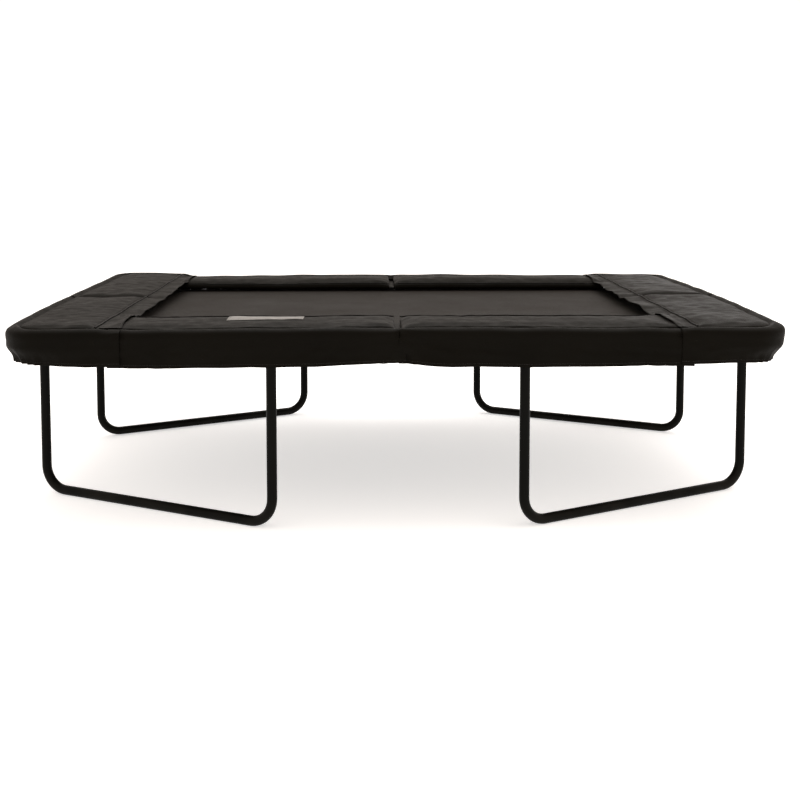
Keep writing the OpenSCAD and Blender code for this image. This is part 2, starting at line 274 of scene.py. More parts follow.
def stitches_on_top(line, pitch=0.008):
    """Stitches along a line on an upper face."""
    return stitch_run(line, np.tile((0, 0, 1.0), (len(line), 1)), pitch)


# ---------- materials ----------

def node(tree, kind, values=None, **settings):
    """A shader node with its settings, and with its inputs set or linked."""
    made = tree.nodes.new(kind)
    for key, value in settings.items():
        setattr(made, key, value)
    for key, value in (values or {}).items():
        if isinstance(value, bpy.types.NodeSocket):
            tree.links.new(value, made.inputs[key])
        else:
            made.inputs[key].default_value = value
    return made


def material(name, **values):
    """A new material, its shader and the object's own coordinates."""
    mat = bpy.data.materials.new(name)
    mat.use_nodes = True
    shader = mat.node_tree.nodes["Principled BSDF"]
    for key, value in values.items():
        shader.inputs[key.replace("_", " ")].default_value = value
    return mat, shader, node(mat.node_tree, "ShaderNodeTexCoord").outputs["Object"]


def noise(place, scale, detail=3.0, rough=0.5):
    """Soft random values in 0 to 1."""
    values = {"Vector": place, "Scale": scale, "Detail": detail, "Roughness": rough}
    return node(place.id_data, "ShaderNodeTexNoise", values).outputs["Fac"]


def ramp(fac, low, high, out_low, out_high):
    """Maps fac from low..high to out_low..out_high."""
    values = {"Value": fac, "From Min": low, "From Max": high, "To Min": out_low, "To Max": out_high}
    return node(fac.id_data, "ShaderNodeMapRange", values).outputs["Result"]


def mixed(fac, first, second):
    """A colour between two colours."""
    made = node(fac.id_data, "ShaderNodeMix", {"Factor": fac}, data_type="RGBA")
    for socket, colour in (("A", first), ("B", second)):
        target = next(s for s in made.inputs if s.name == socket and s.type == "RGBA")
        if isinstance(colour, bpy.types.NodeSocket):
            fac.id_data.links.new(colour, target)
        else:
            target.default_value = (*colour, 1)
    return next(s for s in made.outputs if s.type == "RGBA")


def bump(height, strength, distance, under=None):
    """A surface raised by height, over another surface if one is given."""
    values = {"Height": height, "Strength": strength, "Distance": distance}
    if under is not None:
        values["Normal"] = under
    return node(height.id_data, "ShaderNodeBump", values).outputs["Normal"]


def wave(place, scale, direction, distortion=0.4):
    """Parallel bands across a direction."""
    values = {"Vector": place, "Scale": scale, "Distortion": distortion, "Detail": 1.0}
    return node(place.id_data, "ShaderNodeTexWave", values, bands_direction=direction).outputs["Fac"]


def stretched(place, scale):
    """The coordinates with a scale of their own on each axis."""
    return node(place.id_data, "ShaderNodeMapping", {"Vector": place, "Scale": scale}).outputs[0]


def maths(operation, first, second):
    """Two values joined by an operation."""
    return node(first.id_data, "ShaderNodeMath", {0: first, 1: second}, operation=operation).outputs[0]


def blotched(fac, low, high, colour, first, second):
    """A colour that goes from first to second times its brightness as fac goes from low to high."""
    return mixed(ramp(fac, low, high, 0, 1), scaled(colour, first), scaled(colour, second))


def scaled(colour, k):
    """A colour k times as bright."""
    return tuple(c*k for c in colour)


def linked(mat, shader, base, surface, rough=None):
    """The material with its colour, its surface and, where it varies, its roughness linked."""
    links = mat.node_tree.links
    links.new(base, shader.inputs["Base Color"])
    links.new(surface, shader.inputs["Normal"])
    if rough is not None:
        links.new(rough, shader.inputs["Roughness"])
    return mat


def vinyl(name, colour, rough=0.54):
    """PVC-coated cloth: fine grain over a faint weave, soft dents, dust and handling marks."""
    mat, shader, place = material(name, Specular_IOR_Level=0.03)
    blotch = noise(place, 2.6, 4.0, 0.55)
    dust = noise(place, 21.0, 6.0, 0.62)
    tint = blotched(blotch, 0.3, 0.7, colour, 0.84, 1.14)
    dusty = mixed(ramp(dust, 0.56, 0.78, 0, 0.20), tint, scaled(colour, 2.4))
    uneven = ramp(dust, 0.3, 0.7, rough - 0.05, rough + 0.08)
    gloss = maths("ADD", uneven, ramp(blotch, 0.3, 0.7, -0.03, 0.03))
    grain = node(place.id_data, "ShaderNodeTexVoronoi", {"Vector": place, "Scale": 620.0}).outputs["Distance"]
    fine = noise(place, 1400.0, 2.0)
    threads = maths("MULTIPLY", wave(place, 260.0, "X"), wave(place, 260.0, "Y"))
    creases = noise(stretched(place, (9, 34, 34)), 1.0, 4.0)
    dents = bump(noise(place, 17.0, 3.0), 0.20, 0.006)
    for height, strength, distance in (
        (creases, 0.15, 0.004), (threads, 0.10, 0.0004), (grain, 0.22, 0.0005), (fine, 0.10, 0.0003),
    ):
        dents = bump(height, strength, distance, dents)
    return linked(mat, shader, dusty, dents, gloss)


def weave(name, colour):
    """Woven polypropylene: crossing tapes, with paler worn patches."""
    mat, shader, place = material(name, Specular_IOR_Level=0.06)
    threads = maths("MAXIMUM", wave(place, 190.0, "X", 0.15), wave(place, 190.0, "Y", 0.15))
    worn = noise(place, 3.2, 5.0, 0.6)
    streaks = noise(stretched(place, (1.2, 60, 1)), 1.0, 3.0)
    base = blotched(worn, 0.35, 0.72, colour, 0.85, 1.22)
    base = mixed(ramp(streaks, 0.35, 0.75, 0, 0.35), base, scaled(colour, 1.5))
    base = mixed(ramp(threads, 0.2, 1.0, 0.45, 0), base, scaled(colour, 0.35))
    surface = bump(worn, 0.12, 0.004, bump(threads, 0.45, 0.0009))
    return linked(mat, shader, base, surface, ramp(worn, 0.3, 0.7, 0.60, 0.72))


def webbing(name, colour, rough=0.8):
    """Ribbed woven tape."""
    mat, shader, place = material(name, Roughness=rough, Specular_IOR_Level=0.2, Sheen_Weight=0.05)
    ribs = maths("MAXIMUM", wave(place, 150.0, "X", 0.3), wave(place, 150.0, "Y", 0.3))
    worn = noise(place, 11.0, 4.0)
    base = blotched(worn, 0.3, 0.7, colour, 0.8, 1.35)
    base = mixed(ramp(ribs, 0.2, 1.0, 0.5, 0), base, scaled(colour, 0.4))
    surface = bump(ribs, 0.5, 0.0008)
    return linked(mat, shader, base, bump(noise(place, 380.0, 3.0), 0.2, 0.0004, surface))


DUST = (0.014, 0.0125, 0.0100)


def powder_coat(name, colour):
    """Satin powder coat: orange peel, faint scuffs and dust that gathers low down."""
    mat, shader, place = material(name, Specular_IOR_Level=0.05)
    scuff = noise(place, 38.0, 8.0, 0.7)
    dust = noise(place, 7.0, 4.0)
    level = node(place.id_data, "ShaderNodeSeparateXYZ", {"Vector": place}).outputs["Z"]
    soiled = maths("MULTIPLY", ramp(level, 0.0, 0.16, 0.5, 0.0), ramp(dust, 0.35, 0.65, 0.2, 1))
    base = blotched(dust, 0.3, 0.7, colour, 0.85, 1.2)
    base = mixed(ramp(scuff, 0.66, 0.76, 0, 0.35), base, scaled(colour, 3.2))
    base = mixed(soiled, base, DUST)
    peel = bump(noise(place, 420.0, 2.0), 0.16, 0.0006)
    surface = bump(scuff, 0.05, 0.001, peel)
    return linked(mat, shader, base, surface, ramp(scuff, 0.3, 0.75, 0.34, 0.52))


def zinc(name, colour):
    """Bright zinc plating with a faint spangle and a patchy bloom."""
    mat, shader, place = material(name, Metallic=1.0)
    spangle = node(place.id_data, "ShaderNodeTexVoronoi", {"Vector": place, "Scale": 160.0}).outputs["Color"]
    bloom = noise(place, 55.0, 5.0, 0.6)
    base = blotched(bloom, 0.35, 0.7, colour, 0.82, 1)
    base = mixed(ramp(spangle, 0, 1, 0, 0.15), base, scaled(colour, 0.55))
    return linked(mat, shader, base, bump(bloom, 0.12, 0.0006), ramp(bloom, 0.3, 0.7, 0.24, 0.44))


def thread(name, colour):
    """Twisted sewing thread."""
    mat, shader, place = material(name, Roughness=0.6)
    twist = noise(place, 900.0, 2.0)
    base = blotched(twist, 0.3, 0.7, colour, 0.7, 1.2)
    return linked(mat, shader, base, bump(twist, 0.3, 0.0004))


def patch_cloth(name, colour):
    """A plain sewn-on patch of pale coated cloth."""
    mat, shader, place = material(name, Specular_IOR_Level=0.4)
    soil = noise(place, 26.0, 6.0, 0.65)
    base = blotched(soil, 0.35, 0.7, colour, 1, 0.72)
    surface = bump(soil, 0.1, 0.001, bump(noise(place, 700.0, 2.0), 0.2, 0.0004))
    return linked(mat, shader, base, surface, ramp(soil, 0.3, 0.7, 0.42, 0.55))


VINYL = vinyl("pad_vinyl_look", (0.0035, 0.0029, 0.0019))
PIPING = vinyl("piping_look", (0.0024, 0.0020, 0.0014), 0.40)
MAT_WEAVE = weave("mat_weave_look", (0.0100, 0.0081, 0.0064))
WEBBING = webbing("webbing_look", (0.0080, 0.0074, 0.0066))
ELASTIC = webbing("elastic_look", (0.0070, 0.0066, 0.0062), 0.7)
FRAME_PAINT = powder_coat("frame_paint_look", (0.0018, 0.0018, 0.0013))
ZINC = zinc("zinc_look", (0.62, 0.63, 0.65))
THREAD = thread("thread_look", (0.016, 0.0145, 0.0125))
PATCH = patch_cloth("patch_look", (0.120, 0.112, 0.101))


# ---------- the pads' shapes, in the corner at +X +Y ----------

INNER_SAG = {"front": 0.002, "back": 0.025}
END_DROOP = {"left back": -0.014, "right back": 0.006}
FRONT_DROOP = 0.009
LONG_DROOP = 0.008
EDGE_ROUND = {"front": 0.004, "back": 0.014}
MID_BULGE = 0.014
CORNER_PULL = {"left": 0.028, "right": 0.026}
SIGN = {"left": -1, "right": 1, "front": -1, "back": 1}
LONG_PADS = [("front", "left"), ("front", "right"), ("back", "left"), ("back", "right")]
END_PADS = [(b, a) for a, b in LONG_PADS]
ARC = [math.radians(a) for a in range(0, 91, 10)]


def is_end_pad(first):
    """Whether a pad is at an end: first names its side of the bed, and second its half of that side."""
    return first in ("left", "right")


def signs(first, second):
    """The signs of x and y in a pad's corner."""
    return (SIGN[first], SIGN[second]) if is_end_pad(first) else (SIGN[second], SIGN[first])


def pad_seed(first, second):
    """A number of its own for each pad."""
    order = list(SIGN)
    return 11 + 17*order.index(first) + 5*order.index(second)


def end_drop(x, y, pad):
    """How far the top of an end pad lies below its CAD height."""
    outward = smooth(END_INNER - 0.1, END_HI.x, x)
    return END_DROOP.get(pad, FRONT_DROOP)*(np.abs(y)/END_HI.y)**2*(0.35 + 0.65*outward)


def long_drop(x, y):
    """How far the top of a long pad lies below its CAD height."""
    outward = smooth(LONG_LO.y, LONG_HI.y, y)
    return LONG_DROOP*smooth(0.15, LONG_HI.x, x)*(0.25 + 0.75*outward) + 0.004*hump(x, 0, 0.05)


def bowed(points, side):
    """Lets an end pad's outer side bulge in the middle, as its corners are pulled in."""
    x, y, z = points.T.copy()
    bow = MID_BULGE - CORNER_PULL[side]*(y/END_HI.y)**2
    return np.stack([x + bow*smooth(1.45, 1.78, x), y, z], -1)


def slab(name, outline, low, high, paint):
    """A closed slab of foam with an outline seen from above."""
    count = len(outline)
    points = [(x, y, z) for z in (low, high) for x, y in outline]
    sides = [[i, (i + 1) % count, count + (i + 1) % count, count + i] for i in range(count)]
    caps = [list(range(count))[::-1], list(range(count, 2*count))]
    return new_mesh(name, points, sides + caps, paint)


def remeshed(obj, voxel):
    """Makes an even mesh of a solid and softens its edges."""
    even = obj.modifiers.new("remesh", "REMESH")
    even.mode = "VOXEL"
    even.voxel_size = voxel
    relax = obj.modifiers.new("relax", "SMOOTH")
    relax.iterations = 4
    applied(obj)


def corner_arc(side_in, front_in):
    """The round corner of an outline that lies inside the pads' edge by an amount of its own on each side."""
    rx, ry = CORNER_R - side_in, CORNER_R - front_in
    return [(CORNER[0] + rx*math.cos(a), CORNER[1] + ry*math.sin(a)) for a in ARC]


def end_outline(inset):
    """Outline of an end pad, going round anticlockwise."""
    side_in, front_in = inset + SEAM_IN_END, inset + SEAM_IN
    corner = corner_arc(side_in, front_in)
    low_y = END_LO.y + inset*JOINT_GAP
    in_x = END_INNER + inset
    return [(in_x, low_y), (END_HI.x - side_in, low_y), *corner, (in_x, END_HI.y - front_in)]


def long_outline(inset):
    """Outline of a long pad, going round anticlockwise."""
    low_x, high_x = LONG_LO.x + inset*JOINT_GAP, LONG_HI.x - inset/2
    low_y, high_y = LONG_LO.y + inset, LONG_HI.y - inset - SEAM_IN
    return [(low_x, low_y), (high_x, low_y), (high_x, high_y), (low_x, high_y)]


VOXEL = 0.0115
SIDE_INSET = 0.012
SEAM_IN = 0.051
SEAM_IN_END = 0.045
TOP_INSET = 0.008
JOINT_GAP = 0.15
SWELL = 0.0085
FRAMES = 20
PUFFED = (0.012, 0.03, 0.30)
CLOTH = {
    "quality": 4, "mass": 0.3, "tension_stiffness": 12, "compression_stiffness": 8, "shear_stiffness": 4,
    "bending_stiffness": 0.6, "use_pressure": True, "uniform_pressure_force": 4.0,
}


def add_cloth(obj):
    """Cloth that air pressure will swell, with gravity off."""
    cloth = obj.modifiers.new("cloth", "CLOTH")
    for key, value in CLOTH.items():
        setattr(cloth.settings, key, value)
    cloth.settings.effector_weights.gravity = 0
    cloth.point_cache.frame_start = 1
    cloth.point_cache.frame_end = FRAMES
    cloth.collision_settings.use_collision = False


def blown_up(objs):
    """Where air pressure takes the points of all casings."""
    for obj in objs:
        add_cloth(obj)
    scene = bpy.context.scene
    for frame_number in range(1, FRAMES + 1):
        scene.frame_set(frame_number)
    graph = bpy.context.evaluated_depsgraph_get()
    after = [coords(obj.evaluated_get(graph)) for obj in objs]
    for obj in objs:
        obj.modifiers.clear()
    scene.frame_set(1)
    return after


def swell(objs):
    before = [coords(obj) for obj in objs]
    after = blown_up(objs)
    for obj, old, new in zip(objs, before, after):
        move = new - old
        if np.abs(move).max() < 1e-6:
            move = (old - old.mean(0))*PUFFED
        far = np.linalg.norm(move, axis=1)
        move *= (np.minimum(far, SWELL)/np.maximum(far, 1e-9))[:, None]
        set_coords(obj, old + move)


def casing_blank(first, second):
    """A pad's casing before it is blown up, with a slightly uneven start."""
    is_end = is_end_pad(first)
    outline = end_outline(SIDE_INSET) if is_end else long_outline(SIDE_INSET)
    top = END_HI.z if is_end else LONG_HI.z
    obj = slab(f"casing_{first}_{second}", outline, PAD_FLOOR + 0.007, top - TOP_INSET, VINYL)
    remeshed(obj, VOXEL)
    p = coords(obj)
    p[:, 2] += 0.0006*ripples(p[:, 0], p[:, 1], pad_seed(first, second), 0.09)
    set_coords(obj, p)
    return obj


def end_fall(y, high):
    """Where an end pad's top sinks: at the joint in the middle."""
    return high*0.008*hump(y, 0, 0.028)


def long_fall(x, y, high, first, second):
    """Where a long pad sinks: at the joint, along its free inner edge and over that edge's round."""
    inner = 1 - smooth(LONG_LO.y + 0.02, LONG_LO.y + 0.16, y)
    sag = INNER_SAG[first]*(1 - 0.25*smooth(0.9, 1.25, x)*(second == "left"))
    edge = 1 - smooth(LONG_LO.y, LONG_LO.y + 0.060, y)
    return high*0.007*hump(x, 0, 0.022) + sag*inner*(1.0 - 0.5*high) + EDGE_ROUND[first]*high*edge


def shape_casing(obj, first, second):
    """Lets a swollen casing droop, lie on the rail and crease where it is held."""
    is_end = is_end_pad(first)
    seed = pad_seed(first, second)
    x, y, z = coords(obj).T.copy()
    top = END_HI.z if is_end else LONG_HI.z
    high = smooth(PAD_FLOOR, top, z)
    drop = end_drop(x, y, f"{first} {second}") if is_end else long_drop(x, y)
    soft = 0.0022*ripples(x, y, seed + 1, 0.42) + 0.0010*ripples(x, y, seed + 2, 0.13)
    z = z + high*(soft - drop)
    if is_end:
        z -= end_fall(y, high)
        set_coords(obj, bowed(np.stack([x, y, z], -1), first))
        return
    z -= long_fall(x, y, high, first, second)
    # the long pad's end goes below the flap
    ceiling = LONG_HI.z - 0.001 - drop
    over = smooth(FLAP_EDGE - 0.08, FLAP_EDGE, x)
    z -= over*np.maximum(z - ceiling, 0)
    set_coords(obj, np.stack([x, y, z], -1))


# ---------- skirts ----------

SKIRT_T = 0.0013
HEM_H = 0.019
SKIRT_STEP = 0.010
TUCK = 0.004
SEAM_ROW = 6
PINCH_ROW = 9
FOLDED_ROWS = 5
HEM_STITCH_H = HEM_H - 0.003
CRUMPLE = {"left front": 0.013}
VALLEY = 0.0120


def skirt_profile(top, hem):
    """(out, z, hang) down a skirt: from below the pad's seam, over the foam's side, to the folded hem."""
    middle = (top + hem)/2
    marks = [
        (-0.0800, top - 0.0300), (-0.0680, top - 0.0220), (-0.0560, top - 0.0140), (-0.0490, top - 0.0098),
        (-0.0410, top - 0.0072), (-0.0320, top - 0.0068), (-0.0230, top - 0.0086), (-0.0140, top - 0.0126),
        (-0.0060, top - 0.0188), (-0.0006, top - 0.0280), (0.0016, top - 0.0400), (0.0010, top - 0.0540),
        (-0.0010, top - 0.0720), (-0.0034, middle - 0.025),
        (-0.0038, hem + 0.030), (-0.0038, hem + 0.004), (-0.0048, hem), (-0.0066, hem + 0.001),
        (-0.0074, hem + 0.006), (-0.0076, hem + HEM_H),
    ]
    path = rounded_path(marks, 0.0075)
    hang = 1 - smooth(hem, top - 0.055, path[:, 1])
    return path[:, 0], path[:, 1], hang


def lap_of(end, side):
    """How far out an end pad's skirt starts to lap over the long pad's."""
    return LAPS.get(f"{end} {side}", BACK_LAP)


def long_track(start, lap):
    """Plan points and outward directions of a long pad's skirt, from the middle joint outwards."""
    last = lap + SKIRT_PAST_LAP
    x = np.linspace(start, last, math.ceil((last - start)/SKIRT_STEP))
    return np.stack([x, np.full_like(x, LONG_HI.y)], -1), np.tile((0.0, 1.0), (len(x), 1))


def end_track(start, lap):
    """The same for an end pad's skirt: along the long side, round the corner, to the joint at y = start."""
    x = np.arange(lap, CORNER[0], SKIRT_STEP)
    side = np.stack([x, np.full_like(x, END_HI.y)], -1)
    angle = np.linspace(math.pi/2, 0, 13)
    arc = np.stack([CORNER[0] + CORNER_R*np.cos(angle), CORNER[1] + CORNER_R*np.sin(angle)], -1)
    y = np.linspace(CORNER[1], start, math.ceil((CORNER[1] - start)/SKIRT_STEP))[1:]
    end = np.stack([np.full_like(y, END_HI.x), y], -1)
    out = np.vstack([
        np.tile((0.0, 1.0), (len(side), 1)),
        np.stack([np.cos(angle), np.sin(angle)], -1),
        np.tile((1.0, 0.0), (len(end), 1)),
    ])
    return np.vstack([side, arc, end]), out


def guarded(move, guard):
    """Keeps a wave from going inwards where guard is 1, as at a leg post."""
    return move*(1 - guard) + np.maximum(move, 0)*guard


def end_skirt_moves(run, x, y, seed, pad):
    """An end pad's skirt along its run: waves, taper to the hem, guard at the post, drop and pull."""
    turn = run[int(np.argmin(np.abs(x - CORNER[0] - CORNER_R*0.7)))]
    near = hump(run, turn, 0.14)
    waves = 0.0070*ripples(run, 0*run, seed, 0.40) + 0.0032*ripples(run, 0*run, seed + 1, 0.15)
    crumple = CRUMPLE.get(pad, 0.0085)
    waves = waves*smooth(0.06, 0.16, run) + crumple*near*np.sin(run*2*math.pi/0.058 + seed)
    taper = -0.044*hump(run, turn, 0.24) - 0.004
    post = hump(y, POST_Y, 0.06)*(x > CORNER[0])
    lapping = 1 - smooth(END_INNER - 0.06, END_INNER, x)
    drop = end_drop(x, y, pad)*(1 - lapping) + (long_drop(x, y) + 0.0005)*lapping
    tuck = TUCK*(1 - smooth(-0.005, 0.02, y))
    return waves, taper, post, drop, tuck + 0.006*hump(y, 0, 0.014)


def long_skirt_moves(run, x, y, seed, lap):
    """The same for a long pad's skirt."""
    waves = 0.0110*ripples(run, 0*run, seed, 0.46) + 0.0045*ripples(run, 0*run, seed + 1, 0.17)
    waves += 0.0065*hump(x, 0.06, 0.05)*np.sin(x*2*math.pi/0.055)
    waves += 0.0050*hump(x, lap - 0.14, 0.08)*np.sin(x*2*math.pi/0.090)
    waves = waves*(1 - smooth(lap - 0.08, lap - 0.01, x))
    tuck = TUCK*(1 - smooth(-0.005, 0.02, x)) + 0.012*hump(x, 0, 0.016)
    tuck += 0.011*smooth(lap - 0.040, lap - 0.012, x)
    return waves, -0.0005 + 0*run, hump(x, POST_X, 0.06), long_drop(x, y), tuck


def skirt_grid(pad, is_end, start, lap, seed, rise):
    """The points of a skirt, (along, down, 3), its outward directions and how freely each row hangs."""
    place, normal = end_track(start, lap) if is_end else long_track(start, lap)
    run = track_length(place)
    top, hem = (END_HI.z, END_LO.z) if is_end else (LONG_HI.z, LONG_LO.z)
    out, z, hang = skirt_profile(top, hem)
    x, y = place.T
    if is_end:
        waves, taper, post, drop, pull = end_skirt_moves(run, x, y, seed, pad)
    else:
        waves, taper, post, drop, pull = long_skirt_moves(run, x, y, seed, lap)
    waves = guarded(waves, post)
    loose, held = hang[None, :], (1 - hang)[None, :]
    # the cloth can't go inwards beside the frame's tube, only below it
    below = (1 - smooth(hem, TUBE_LOW + 0.013, z))[None, :]
    above = smooth(TUBE_TOP, TUBE_TOP + 0.015, z)[None, :]
    outwards, inwards = np.maximum(waves, 0)[:, None], np.minimum(waves, 0)[:, None]
    sway = outwards*loose**1.4 + (inwards + taper[:, None])*below
    pull = pull[:, None]*above + np.minimum(pull, TUCK)[:, None]*(1 - above)
    small = 0.0016*ripples(run[:, None], z[None, :]*1.6, seed + 3, 0.10)*smooth(0.0, 0.4, hang)[None, :]
    uneven = 0.5 if is_end else 1.0
    puff = 0.0026*uneven*ripples(run, 0*run, seed + 2, 0.22)[:, None]*held
    near_side = np.abs(normal[:, 0])**1.5
    fill = VALLEY*smooth(-0.020, -0.058, out)
    z = z[None, :] + near_side[:, None]*fill[None, :]
    move = out[None, :] + sway + small*(1 - post[:, None]) + puff - pull
    dip = 0.0020*uneven*ripples(run, 0*run, seed + 4, 0.26)[:, None]*held
    grid = np.empty((len(run), len(out), 3))
    grid[:, :, :2] = place[:, None] + normal[:, None]*move[:, :, None]
    grid[:, :, 2] = z + dip - drop[:, None]*held + rise(run, x)[:, None]*loose
    return grid, normal, hang


def star_folds(grid, centre, reach, seed, height):
    """Folds that run out from a point where the cloth is pinched."""
    d = grid - np.asarray(centre)
    r = np.linalg.norm(d, axis=2)
    angle = np.arctan2(d[:, :, 2], np.hypot(d[:, :, 0], d[:, :, 1]))
    folds = np.cos(angle*7 + seed) + 0.6*np.cos(angle*13 + 2*seed)
    return height*folds*np.exp(-r/reach)*(r/(r + 0.03))


def mirror(obj, sx, sy):
    """Turns a piece made in the +X +Y corner into the one in another corner."""
    set_coords(obj, coords(obj)*(sx, sy, 1))
    if sx*sy < 0:
        obj.data.flip_normals()


def cover_pieces(objs, sx, sy):
    """Takes pieces of a cover to their corner and fixes them to the frame."""
    for obj in objs:
        mirror(obj, sx, sy)
        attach(obj, "frame")


def surface_line(grid, row):
    """The points along one row of a skirt and the outward direction there."""
    line = grid[:, row]
    ahead = np.gradient(line, axis=0)
    down = grid[:, min(row + 1, grid.shape[1] - 1)] - grid[:, max(row - 1, 0)]
    out = np.cross(down, ahead)
    out /= np.linalg.norm(out, axis=1)[:, None]
    return line, out


def hem_stitch_row(heights, hang):
    """The row of points that the hem's stitches follow on a skirt's outer face."""
    miss = np.abs(heights - (heights.min() + HEM_STITCH_H))
    miss[hang < 0.9] = np.inf
    miss[-FOLDED_ROWS:] = np.inf
    return int(np.argmin(miss))


def skirt_stitches(name, grid, normal, hang):
    """The two rows of stitches on a skirt: below the pad's seam and along the hem."""
    runs = []
    for row in (SEAM_ROW, hem_stitch_row(grid[0, :, 2], hang)):
        line, out = surface_line(grid, row)
        side = np.sign((out[:, :2]*normal).sum(1) + 0.3*out[:, 2])[:, None]
        runs.append(stitch_run(line, out*side))
    return sewn(name, runs)


def skirt(first, second, start, seed, rise, pinch):
    """One skirt with its hem, its two rows of stitches and the folds where it is pinched at its start."""
    name = f"skirt_{first}_{second}"
    is_end = is_end_pad(first)
    lap = lap_of(first, second) if is_end else lap_of(second, first)
    grid, normal, hang = skirt_grid(f"{first} {second}", is_end, start, lap, seed, rise)
    if is_end:
        grid = bowed(grid.reshape(-1, 3), first).reshape(grid.shape)
    rows, cols = grid.shape[:2]
    folds = star_folds(grid, grid[0, PINCH_ROW], 0.13, seed, pinch)*smooth(0, 0.1, np.linspace(0, 1, cols))
    grid[:, :, :2] += normal[:, None]*folds[:, :, None]
    obj = new_mesh(name, grid, grid_faces(rows, cols), VINYL)
    turned = sum(f.normal.dot(Vector((*normal[f.index//(cols - 1)], 0))) for f in obj.data.polygons[:cols//2])
    if turned < 0:
        obj.data.flip_normals()
    thicken(obj, SKIRT_T)
    seam = skirt_stitches(name, grid, normal, hang)
    cover_pieces((obj, seam), *signs(first, second))


def end_hem_rise(seed):
    """How much higher than its CAD place an end skirt's hem hangs, along its run."""
    return lambda run, x: 0.004 + 0.003*ripples(run, 0*run, seed + 9, 0.5)


def long_hem_rise(second, seed):
    """The same for a long skirt, which is drawn up at the middle joint."""
    width = 0.40 if second == "left" else 0.16
    return lambda run, x: 0.017*hump(x, 0, width) + 0.002*ripples(run, 0*run, seed + 9, 0.5)


# ---------- welts, flaps and the plain patch ----------

PIPE_R = 0.0032
NEAR = 0.02
RIM = 0.018


def surface_of(obj):
    """A finder for the height of a casing's top at (x, y), taken inside its rounded rim when close to it."""
    mesh = obj.data
    tree = BVHTree.FromPolygons([v.co for v in mesh.vertices], [p.vertices for p in mesh.polygons])
    low_x, low_y, _ = coords(obj).min(0)
    high_x, high_y, _ = coords(obj).max(0)

    def height(x, y, missing):
        if low_x - NEAR < x < high_x + NEAR and low_y - NEAR < y < high_y + NEAR:
            x = min(max(x, low_x + RIM), high_x - RIM)
            y = min(max(y, low_y + RIM), high_y - RIM)
        hit = tree.ray_cast(Vector((x, y, 1.2)), Vector((0, 0, -1)))[0]
        return missing if hit is None else hit.z
    return height


def piping(name, path, sx, sy):
    """A round welt along a seam."""
    obj = new_mesh(name, *tube(path, PIPE_R), PIPING)
    cover_pieces((obj,), sx, sy)
    return obj


FLAP_SEAM_X = END_INNER + 0.009
FLAP_DROOP = 0.006
FLAP_T = 0.0014
# by the signs of a flap's corner: where along y its edge is lifted, and how far
FLAP_LIFT = {(1, -1): (0.42, 0.014), (-1, 1): (0.62, 0.012)}
ACROSS = np.concatenate([[-0.32, -0.16], np.linspace(0, 1, 14), [1.006, 0.99, 0.86]])
UNDER = np.concatenate([[0.0160, 0.0080], np.zeros(14), [0.0012, 0.0024, 0.0026]])
EDGE_COLUMN = 14
SEAM_COLUMN = 3


def flap_edge(y, lap):
    """How far in the flap reaches; its corner meets the skirt's lap."""
    return FLAP_EDGE + (lap - FLAP_EDGE)*smooth(0.95, END_HI.y, y)


def flap_grid(y, lap, lift_at, lift, top_of_end, top_of_long, seed):
    """The points of a flap, from below the casing's seam to its folded edge, resting on the long pad."""
    grid = np.empty((len(y), len(ACROSS), 3))
    free = 1 - smooth(LONG_LO.y - 0.06, LONG_LO.y + 0.05, y)
    waves = 0.0060*ripples(y, 0*y, seed, 0.36) + 0.002*ripples(y, 0*y, seed + 1, 0.12)
    lifted = lift*hump(y, lift_at, 0.17)
    proud = 1 - smooth(END_HI.y - 0.18, END_HI.y - 0.09, y)
    for i, v in enumerate(y):
        seam_z = top_of_end(FLAP_SEAM_X + 0.004, v, END_HI.z) - 0.0015
        edge = flap_edge(v, lap) + 0.003*math.sin(5*v + seed)*float(free[i])
        for j, u in enumerate(ACROSS):
            x = FLAP_SEAM_X + (edge - FLAP_SEAM_X)*u
            droop = free[i]*(FLAP_DROOP*max(u, 0)**1.4 - waves[i]*u)
            level = seam_z - 0.004*smooth(0, 0.15, u) - droop + lifted[i]*max(u, 0)
            level -= (1 - free[i])*0.010*smooth(0.05, 0.5, u)
            rest = top_of_long(x, v, 0.0) + 0.0028 + 0.0085*float(smooth(0.45, 1.0, u)*proud[i])
            grid[i, j] = (x, v, max(level, rest) - UNDER[j])
    settle = np.ones(5)/5
    for j in range(len(ACROSS)):
        padded = np.pad(grid[:, j, 2], 2, mode="edge")
        grid[:, j, 2] = np.maximum(np.convolve(padded, settle, "valid"), grid[:, j, 2] - 0.001)
    return grid


def facing_up(name, grid, paint):
    """A sheet through a grid of points, its outer face upwards."""
    obj = new_mesh(name, grid, grid_faces(*grid.shape[:2]), paint)
    if obj.data.polygons[0].normal.z < 0:
        obj.data.flip_normals()
    return obj


def flap(first, second, lap, top_of_end, top_of_long, seed):
    """The loose flap on an end pad's inner edge, lying on the long pad and drooping over the bed."""
    name = f"flap_{first}_{second}"
    sx, sy = signs(first, second)
    y = np.arange(END_LO.y + 0.002, END_HI.y - SEAM_IN - 0.006, 0.010)
    grid = flap_grid(y, lap, *FLAP_LIFT.get((sx, sy), (0, 0)), top_of_end, top_of_long, seed)
    obj = facing_up(name, grid, VINYL)
    thicken(obj, FLAP_T)
    seam = sewn(name, [stitches_on_top(grid[:, EDGE_COLUMN] + (0, 0, 0.0003)),
                       stitches_on_top(grid[:, SEAM_COLUMN] + (0, 0, 0.0004))])
    welt_z = [top_of_end(FLAP_SEAM_X + 0.003, v, END_HI.z) + 0.0008 for v in y]
    cover_pieces((obj, seam), sx, sy)
    pipe = piping(name + "_welt", np.stack([np.full_like(y, FLAP_SEAM_X + 0.002), y, welt_z], -1), sx, sy)


